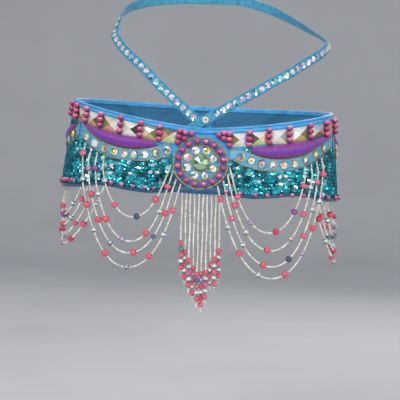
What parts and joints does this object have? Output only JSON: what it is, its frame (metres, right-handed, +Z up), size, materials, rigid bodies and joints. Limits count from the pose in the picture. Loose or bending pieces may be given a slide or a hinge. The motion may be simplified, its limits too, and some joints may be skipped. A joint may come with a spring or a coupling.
{
  "type": "belly dance hip belt",
  "caption": "Belly dance hip belt in its worn shape: a stiff band with padded crescents, crystal garlands and a medallion, waist straps, bead fringe and bead swags.",
  "frame": {"origin": "the middle of the wearer's hips, level with the medallion, where the wearer holds the belt up", "axes": "+Z up, front faces -Y, +X to the viewer's right of someone looking at the front"},
  "size_m": [0.3436, 0.2394, 0.383],
  "materials": {
    "band_cloth": "stiffened cloth band under teal sequins, with raised pearls and mirror squares",
    "satin_binding": "sky-blue satin",
    "purple_thread": "padded and wrapped in purple thread",
    "crystal_garland": "blue satin with clear rainbow crystals and gold cord",
    "medallion_cloth": "raspberry beads, crystals and gold cord on cloth",
    "sequin_strap": "blue elastic strap covered with rainbow cup sequins",
    "glass_strand": "strung glass seed beads with coral, grey and purple beads",
    "hook_tape": "plain woven tape"
  },
  "bodies": {
    "root": {"closure_tape": "hook_tape", "crescent_left": "purple_thread", "crescent_right": "purple_thread", "crescent_side_left": "purple_thread", "crescent_side_right": "purple_thread", "fringe_centre": "glass_strand", "garland_left": "crystal_garland", "garland_right": "crystal_garland", "garland_side_left": "crystal_garland", "garland_side_right": "crystal_garland", "hem_binding_back_left": "satin_binding", "hem_binding_back_right": "satin_binding", "hem_binding_front": "satin_binding", "medallion": "medallion_cloth", "panel_back_left": "band_cloth", "panel_back_right": "band_cloth", "panel_front": "band_cloth", "strap_left": "sequin_strap", "strap_right": "sequin_strap", "swag_front_left": "glass_strand", "swag_front_right": "glass_strand", "swag_side_left": "glass_strand", "swag_side_right": "glass_strand", "top_binding_back_left": "satin_binding", "top_binding_back_right": "satin_binding", "top_binding_front": "satin_binding"}
  },
  "joints": []
}
